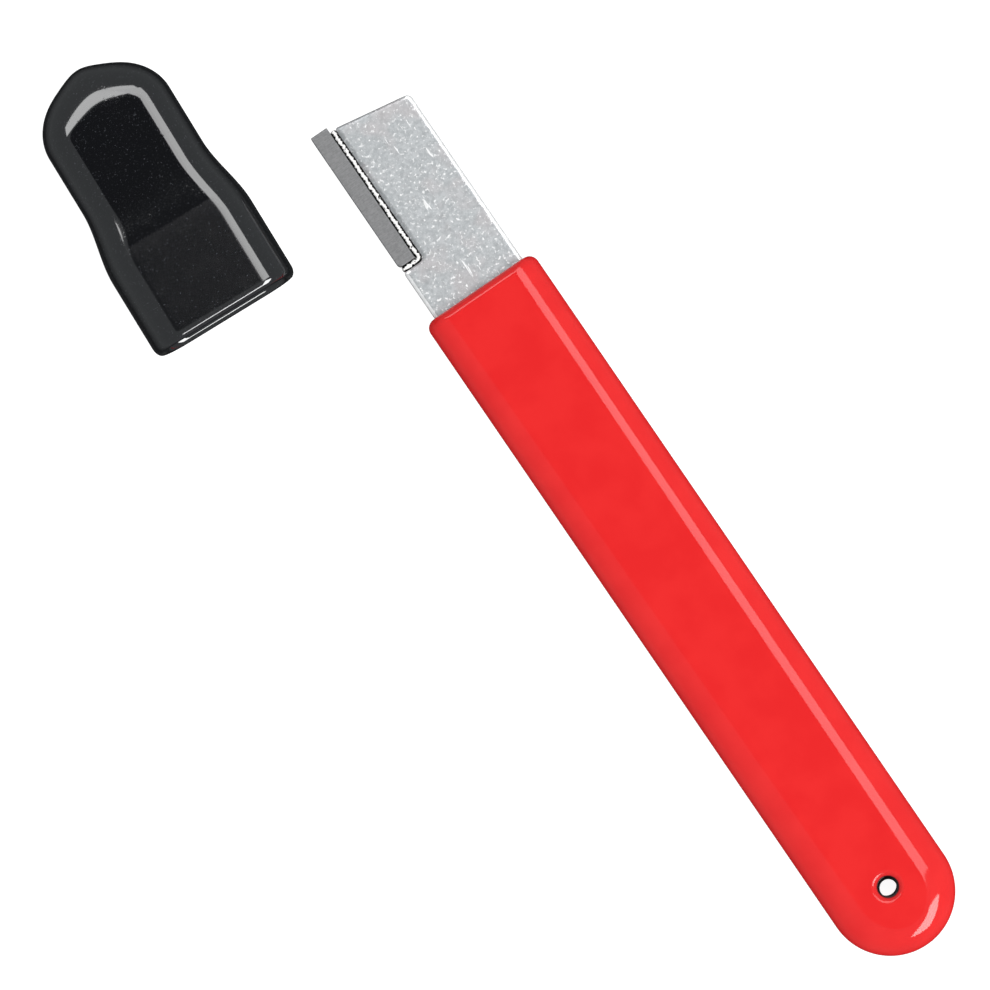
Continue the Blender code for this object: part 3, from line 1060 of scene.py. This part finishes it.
@dataclass
class BrazeBead:
    """The silver filler in the L-shaped gap by the carbide: a bright ridge between flanks darkened with
    painted shade.
    """

    finish: BrazeMetal = field(default_factory=BrazeMetal)
    half_width: float = 0.27
    foot_width: float = 0.39
    inside_edge: float = 0.19
    above_floor: float = 0.19
    proud: float = 0.03
    # depth below the top at which the painted shade on the flanks is full
    painted_flank_shade: float = 0.30
    bend: float = 0.36
    squareness: float = 0.45
    foot_levels: tuple[float, float] = (0.35, 0.80)
    end_fade: float = 0.18
    floor_run: tuple[float, float] = (2.6, 2.2)
    swells: tuple[Colour, ...] = ((0.10, 1.37, 0.3), (0.14, 0.61, 1.1), (0.12, 0.37, 2.0))
    blobs: tuple[Colour, ...] = ((0.28, 0.95, 0.6),)
    lumps: tuple[Colour, ...] = ((0.04, 1.9, 0.0), (0.03, 0.77, 1.3))
    wander: tuple[Colour, ...] = ((0.03, 2.3, 0.5), (0.035, 0.83, 2.1), (0.03, 0.47, 0.9))
    steps: int = 420
    around: int = 32

    def path(self, run: np.ndarray) -> tuple[np.ndarray, np.ndarray, float]:
        """Walks down the seat's side, round its corner and out along its floor.

        Args:
            run: fraction of the whole length, 0 at the head and 1 at the outer edge.

        Returns:
            Points in plan, the heading of the path in radians, and its whole length.
        """
        low, high = node_box("braze_seam")
        side_x = high[0] - self.inside_edge
        floor_y = low[1] + self.above_floor
        down = high[1] - 0.05 - (floor_y + self.bend)
        curve = self.bend * math.pi / 2
        out = (side_x - self.bend) - (low[0] + 0.05)
        whole = down + curve + out
        s = run * whole
        angle = np.clip((s - down) / self.bend, 0.0, math.pi / 2)
        x = side_x - self.bend * (1 - np.cos(angle)) - np.clip(s - down - curve, 0.0, None)
        y = high[1] - 0.05 - np.clip(s, 0.0, down) - self.bend * np.sin(angle)
        return np.stack([x, y], -1), -math.pi / 2 - angle, whole

    def build(self) -> bpy.types.Object:
        """Makes the bead: a squarish oval carried along the path, swollen and pinched by sine waves.

        The oval is the power curve of cosine and sine. Below its top it widens to the foot, which
        fills the gap. Its width follows the ripples, and both ends shrink to a point as the square
        root of the distance left. The painted shade on the flanks grows with the depth below the top.

        Returns:
            The finished bead.
        """
        bar_low, bar_high = node_box("steel_bar")
        run = np.linspace(0.0, 1.0, self.steps)
        plan, heading, whole = self.path(run)
        s = run * whole
        taper = np.sqrt(np.clip(np.minimum(s, whole - s) / self.end_fade, 0.0, 1.0))
        floor_part = ease(s, *(whole - run for run in self.floor_run))
        swell = 1 + ripple(s, self.swells)
        blobs = 1 + floor_part * ripple(s, self.blobs)
        half_width = self.half_width * swell * blobs * taper
        lumps = ripple(s, self.lumps)
        half_high = ((bar_high[2] - bar_low[2]) / 2 + self.proud + lumps) * taper
        shift = ripple(s, self.wander)
        u = np.linspace(0.0, 2 * np.pi, self.around, endpoint=False)
        across = np.sign(np.cos(u)) * np.abs(np.cos(u)) ** self.squareness
        up = np.sign(np.sin(u)) * np.abs(np.sin(u)) ** self.squareness
        side = np.stack([-np.sin(heading), np.cos(heading)], -1)
        foot = 1 - ease(np.abs(up), *self.foot_levels)
        wide = half_width[:, None] * (1 - foot) + self.foot_width * taper[:, None] * foot
        drift = shift[:, None] * (1 - foot)
        flat = plan[:, None] + side[:, None] * (drift + wide * across)[..., None]
        tall = (bar_low[2] + bar_high[2]) / 2 + half_high[:, None] * up
        # painted shade: darker down the flanks, the deeper below the bead's top
        painted_flank_shade = ease((1 - np.abs(up)) * half_high[:, None], self.painted_flank_shade * 0.4, self.painted_flank_shade)
        skin = Skin()
        skin.add_grid(np.dstack([flat, tall]), False, True, shade=painted_flank_shade)
        piece = skin.make("braze_bead", 60.0)
        mount(piece, self.finish.build(), Body.TOOL, "braze_seam")
        return piece


# ---------------------------------------------------------------- the cap


@dataclass(frozen=True)
class SockWall:
    """One wall of the cap, outside or inside: a flat pocket that flares to a skirt.

    Distances run from the outer closed end towards the mouth.
    """

    pocket_wide: float
    skirt_wide: float
    pocket_high: float
    skirt_high: float
    pocket_round: float
    skirt_round: float
    end_round: float
    upness: float
    end: float
    dome: float
    peak: float
    flare_from: float
    flare_to: float
    step_at: float
    step_rise: float
    length: float
    lip: float
    side_columns: int
    dome_columns: int

    def outline(self) -> tuple[np.ndarray, np.ndarray, np.ndarray]:
        """Draws the plan from the mouth up the left side, over the closed end and down the right.

        The sides follow the eased flare, and the closed end is half an ellipse. On it stands a low
        peak, as high as the peak's height times exp(-(x / 2.6)^2).

        Returns:
            Plan points without the peak, the peak's rise, and the share of the end rounding.
        """
        s = np.linspace(self.length - self.lip, self.end + self.dome + self.peak, self.side_columns)
        flare = ease(s, self.flare_from, self.flare_to)
        wide = self.pocket_wide + (self.skirt_wide - self.pocket_wide) * flare
        angle = np.linspace(0.0, np.pi / 2, self.dome_columns + 1)[1:]
        x = self.pocket_wide * np.cos(angle)
        tip = self.end + self.peak + self.dome * (1 - np.sin(angle))
        rise = np.concatenate([np.zeros(self.side_columns), self.peak * np.exp(-((x / 2.6) ** 2))])
        left = np.stack([np.concatenate([-wide, -x]), self.length - np.concatenate([s, tip])], -1)
        share = np.concatenate([np.zeros(self.side_columns), ease(np.degrees(angle), 0.0, 80.0)])
        right = left[:-1][::-1] * np.array([-1.0, 1.0])
        both = (np.concatenate([half, half[:-1][::-1]]) for half in (rise, share))
        return np.concatenate([left, right]), *both

    def height(self, y: np.ndarray) -> np.ndarray:
        """Gives half of the wall's thickness at a distance from the mouth, with its flare and step."""
        s = self.length - y
        slope = self.skirt_high - self.pocket_high - self.step_rise
        return (
            self.pocket_high
            + slope * ease(s, self.flare_from, self.flare_to)
            + self.step_rise * ease(s, self.step_at, self.step_at + 1.1)
        )

    def grid(self, face: int, arc: int, wall: int) -> np.ndarray:
        """Wraps the wall from the spine of its upper face, round its edge, to the spine below.

        A point's plan place is the outline moved inwards by the rounding's inset, with the peak
        fading as the cube of the way left. Its height is the wall's height there times the
        rounding's share, and the faces run straight to a spine on the middle line.

        Args:
            face: rows on each face.
            arc: rows on each rounded shoulder.
            wall: rows on the straight wall between them.

        Returns:
            Points, rows by columns by three.
        """
        plan, rise, share = self.outline()
        tangent = np.gradient(plan, axis=0)
        tangent /= np.linalg.norm(tangent, axis=1, keepdims=True)
        inward = np.stack([tangent[:, 1], -tangent[:, 0]], -1)
        inward[0], inward[-1] = (1.0, 0.0), (-1.0, 0.0)
        flare = ease(self.length - plan[:, 1], self.flare_from, self.flare_to)
        across = self.pocket_round + (self.skirt_round - self.pocket_round) * flare
        across = across + (self.end_round - self.pocket_round) * share
        inset, level = EdgeRound(1.0, 1.0, self.upness).rows(arc, wall)
        edge = plan + inward * (inset[:, None] * across)[..., None]
        edge[..., 1] += rise * (1 - inset[:, None]) ** 3
        spine_end = self.length - self.end - self.dome - 1.0
        spine = np.stack([np.zeros(len(plan)), np.minimum(edge[0, :, 1], spine_end)], -1)
        t = (np.arange(face) / face)[:, None, None]
        roof = spine + (edge[0] - spine) * (1 - (1 - t) ** 1.5)
        flat = np.concatenate([roof, edge, roof[::-1]])
        share_up = np.concatenate([np.ones(face), level, -np.ones(face)])
        return np.dstack([flat, self.height(flat[..., 1]) * share_up[:, None]])


@dataclass
class BladeCap:
    """The black dipped cap, tipped on to its closed end beside the tool."""

    finish: BlackVinyl = field(default_factory=BlackVinyl)
    length: float = 36.2
    lip: float = 1.2
    lip_steps: int = 11
    tip: float = 2.761
    gloss_line: tuple[float, float] = (22.7, 23.2)
    face_share: float = 0.98

    def outer(self) -> SockWall:
        """Gives the outside wall."""
        return SockWall(
            pocket_wide=8.80,
            skirt_wide=10.15,
            pocket_high=4.15,
            skirt_high=5.10,
            pocket_round=4.1,
            skirt_round=4.2,
            end_round=6.6,
            upness=0.93,
            end=0.0,
            dome=7.2,
            peak=0.6,
            flare_from=15.8,
            flare_to=25.4,
            step_at=21.6,
            step_rise=0.0,
            length=self.length,
            lip=self.lip,
            side_columns=110,
            dome_columns=44,
        )

    def inner(self) -> SockWall:
        """Gives the inside wall, which leaves room for the blade and the grip's mouth."""
        return SockWall(
            pocket_wide=7.18,
            skirt_wide=8.55,
            pocket_high=2.55,
            skirt_high=3.50,
            pocket_round=0.9,
            skirt_round=3.0,
            end_round=1.2,
            upness=0.55,
            end=3.2,
            dome=2.6,
            peak=0.0,
            flare_from=15.8,
            flare_to=25.4,
            step_at=21.4,
            step_rise=0.1,
            length=self.length,
            lip=self.lip,
            side_columns=80,
            dome_columns=24,
        )

    def lips(self, outside: np.ndarray, inside: np.ndarray) -> np.ndarray:
        """Rolls the mouth's lip from the outer wall to the inner one.

        Each row of the lip is half an ellipse: the point moves from outside to inside as the cosine
        and towards the mouth as the sine.

        Args:
            outside: the outer wall's mouth points, rows by three.
            inside: the inner wall's mouth points, rows by three.

        Returns:
            Points between them, rows by lip steps by three.
        """
        t = np.linspace(0.0, np.pi, self.lip_steps + 2)[1:-1]
        middle, reach = (outside + inside) / 2, (outside - inside) / 2
        points = middle[:, None] + reach[:, None] * np.cos(t)[None, :, None]
        points[..., 1] = outside[:, None, 1] - self.lip * np.sin(t)
        return points

    def place(self, points: np.ndarray) -> np.ndarray:
        """Tips the cap, turns it to its joint's axis and stands it where the frame has it.

        Args:
            points: points in the cap's own frame, mouth at Y 0 and closed end at +Y.

        Returns:
            The points in the frame.
        """
        axis = next(j for j in frame["joints"] if j["name"] == "cap_slide")["axis"]
        turn = math.atan2(-axis[0], axis[1])
        spin = Matrix.Rotation(turn, 3, "Z") @ Matrix.Rotation(-math.radians(self.tip), 3, "X")
        turned = points @ np.array(spin).T
        low, high = node_box("cap")
        shift = (low + high) / 2 - (turned.min((0, 1)) + turned.max((0, 1))) / 2
        shift[2] = low[2] - turned[..., 2].min()
        return turned + shift

    def build(self) -> bpy.types.Object:
        """Makes the cap as one grid: outer wall, lip, inner wall and lip again, closed on its spines.

        Returns:
            The finished cap.
        """
        outside, inside = self.outer().grid(18, 18, 3), self.inner().grid(18, 18, 3)
        grid = np.concatenate(
            [
                outside,
                self.lips(outside[:, -1], inside[:, -1]),
                inside[:, ::-1],
                self.lips(outside[:, 0], inside[:, 0])[:, ::-1],
            ],
            1,
        )
        dull = ease(self.length - grid[..., 1], *self.gloss_line)
        on_face = np.abs(grid[..., 2]) > self.outer().height(grid[..., 1]) * self.face_share
        dull = dull * on_face
        skin = Skin()
        skin.add_grid(self.place(grid), False, True, shade=dull)
        piece = skin.make("blade_cap", 55.0)
        mount(piece, self.finish.build(), Body.CAP, "cap")
        return piece


# ---------------------------------------------------------------- the studio


@dataclass(frozen=True)
class Softbox:
    """One flat rectangular light that faces straight down, turned about the vertical."""

    name: str
    across: float
    along: float
    wide: float
    deep: float
    radiance: float
    turn: float = 0.0
    height: float = 900.0
    mirrored: bool = True

    def build(self) -> bpy.types.Object:
        """Makes the light. Its power is its radiance times pi times its area.

        Returns:
            The light's object.
        """
        wide, deep = self.wide * MM, self.deep * MM
        lamp = bpy.data.lights.new(self.name, "AREA")
        lamp.shape, lamp.size, lamp.size_y = "RECTANGLE", wide, deep
        lamp.energy = self.radiance * math.pi * wide * deep
        place = bpy.data.objects.new(self.name, lamp)
        place.location = (self.across * MM, self.along * MM, self.height * MM)
        place.rotation_euler = (0.0, 0.0, math.radians(self.turn))
        place.visible_camera = False
        place.visible_glossy = self.mirrored
        bpy.context.scene.collection.objects.link(place)
        return place


@dataclass
class Studio:
    """Pale floor, soft lights, a dim room with a dark patch overhead, and the camera."""

    floor: PaleFloor = field(default_factory=PaleFloor)
    floor_half: float = 6000.0
    aim: Colour = (-12.9, 27.3, 3.1)
    right: Colour = (0.8255, -0.5644, 0.0)
    view_width: float = 124.2
    lens: float = 300.0
    sensor: float = 36.0
    lean: float = 0.6
    room: float = 0.29
    underside: float = 0.03
    dusk: tuple[float, float] = (-0.6, -0.05)
    backdrop: float = 1.15
    cool: Colour = (0.93, 0.98, 1.0)
    overhead: float = 0.03
    dark_middle: tuple[float, float] = (1.6, 11.5)
    dark_radius: float = 16.5
    boxes: tuple[Softbox, ...] = (
        Softbox("long_side_box", 347.0, 341.0, 505.0, 918.0, 3.2),
        Softbox("tail_box", 262.0, -775.0, 600.0, 800.0, 9.5, turn=-27.0),
        Softbox("head_box", -152.0, 775.0, 495.0, 370.0, 3.6),
        Softbox("head_corner_box", 278.0, 880.0, 365.0, 160.0, 3.4),
        Softbox("even_fill", -650.0, 0.0, 1300.0, 1600.0, 0.45, height=1100.0, mirrored=False),
    )

    def build_floor(self) -> bpy.types.Object:
        """Lays the floor, a flat sheet at height zero that glossy skins don't mirror."""
        skin_half = self.floor_half * MM
        mesh = bpy.data.meshes.new("floor_sheet")
        corners = np.array([(-1, -1, 0), (1, -1, 0), (1, 1, 0), (-1, 1, 0)], float) * skin_half
        mesh.from_pydata(corners.tolist(), [], [(0, 1, 2, 3)])
        sheet = bpy.data.objects.new("floor_sheet", mesh)
        bpy.context.scene.collection.objects.link(sheet)
        mesh.materials.append(self.floor.build())
        sheet.visible_glossy = False
        return sheet

    def build_room(self) -> bpy.types.World:
        """Makes the room's light: dark underneath, even at the sides, and dark overhead.

        The dark patch holds every direction whose angle from the patch's middle is under its radius.
        Behind the object the camera sees a plain white backdrop instead.

        Returns:
            The world.
        """
        world = bpy.data.worlds.new("dim_room")
        world.use_nodes = True
        tree = world.node_tree
        tree.nodes.clear()
        place = tree.nodes.new("ShaderNodeTexCoord")
        split = tree.nodes.new("ShaderNodeSeparateXYZ")
        walls = tree.nodes.new("ShaderNodeMapRange")
        near = tree.nodes.new("ShaderNodeVectorMath")
        patch = tree.nodes.new("ShaderNodeMapRange")
        glow = tree.nodes.new("ShaderNodeBackground")
        out = tree.nodes.new("ShaderNodeOutputWorld")
        edge = math.cos(math.radians(self.dark_radius))
        inner = math.cos(math.radians(self.dark_radius - 1.0))
        near.operation = "DOT_PRODUCT"
        lean = [math.tan(math.radians(angle)) for angle in self.dark_middle]
        near.inputs[1].default_value = Vector((*lean, 1.0)).normalized()
        spans = ((walls, *self.dusk, self.underside, self.room), (patch, edge, inner, 0.0, 1.0))
        for node, low, high, first, last in spans:
            for key, value in (("From Min", low), ("From Max", high), ("To Min", first), ("To Max", last)):
                node.inputs[key].default_value = value
        mix = tree.nodes.new("ShaderNodeMix")
        mix.inputs[3].default_value = self.overhead
        tree.links.new(place.outputs["Generated"], split.inputs[0])
        tree.links.new(place.outputs["Generated"], near.inputs[0])
        tree.links.new(split.outputs["Z"], walls.inputs["Value"])
        tree.links.new(near.outputs["Value"], patch.inputs["Value"])
        tree.links.new(patch.outputs[0], mix.inputs[0])
        tree.links.new(walls.outputs[0], mix.inputs[2])
        ray = tree.nodes.new("ShaderNodeLightPath")
        seen = tree.nodes.new("ShaderNodeMix")
        seen.inputs[3].default_value = self.backdrop
        tree.links.new(ray.outputs["Is Camera Ray"], seen.inputs[0])
        tree.links.new(mix.outputs[0], seen.inputs[2])
        tree.links.new(seen.outputs[0], glow.inputs["Strength"])
        tree.links.new(glow.outputs[0], out.inputs[0])
        glow.inputs["Color"].default_value = (*self.cool, 1.0)
        bpy.context.scene.world = world
        return world

    def build_camera(self) -> bpy.types.Object:
        """Hangs a long-lensed camera almost straight above, leaning back a little.

        Returns:
            The camera, which is also made the scene's own.
        """
        side = Vector(self.right).normalized()
        up = Vector((0.0, 0.0, 1.0)).cross(side)
        lean = math.radians(self.lean)
        back = (Vector((0.0, 0.0, 1.0)) * math.cos(lean) - up * math.sin(lean)).normalized()
        eye = bpy.data.cameras.new("view_camera")
        eye.lens, eye.sensor_width = self.lens, self.sensor
        distance = self.view_width * self.lens / self.sensor * MM
        eye.clip_start, eye.clip_end = distance * 0.01, distance * 100
        camera = bpy.data.objects.new("view_camera", eye)
        bpy.context.scene.collection.objects.link(camera)
        turn = Matrix((side, back.cross(side), back)).transposed()
        camera.matrix_world = Matrix.Translation(Vector(self.aim) * MM + back * distance) @ turn.to_4x4()
        bpy.context.scene.camera = camera
        return camera

    def build(self) -> None:
        """Sets up the whole studio."""
        self.build_floor()
        self.build_room()
        for box in self.boxes:
            box.build()
        self.build_camera()
        settings = bpy.context.scene.view_settings
        settings.view_transform, settings.look = "Standard", "None"
        LOG.info("studio: floor, room, %d softboxes and camera", len(self.boxes))


def main() -> None:
    """Builds the tool, the cap and the studio in order."""
    logging.basicConfig(level=logging.INFO, format="%(name)s: %(message)s")
    for assembly in (FlatBar(), CarbideTip(), BrazeBead(), DippedGrip(), BladeCap()):
        piece = assembly.build()
        LOG.info("%s is done", piece.name)
    Studio().build()


if __name__ == "__main__":
    main()
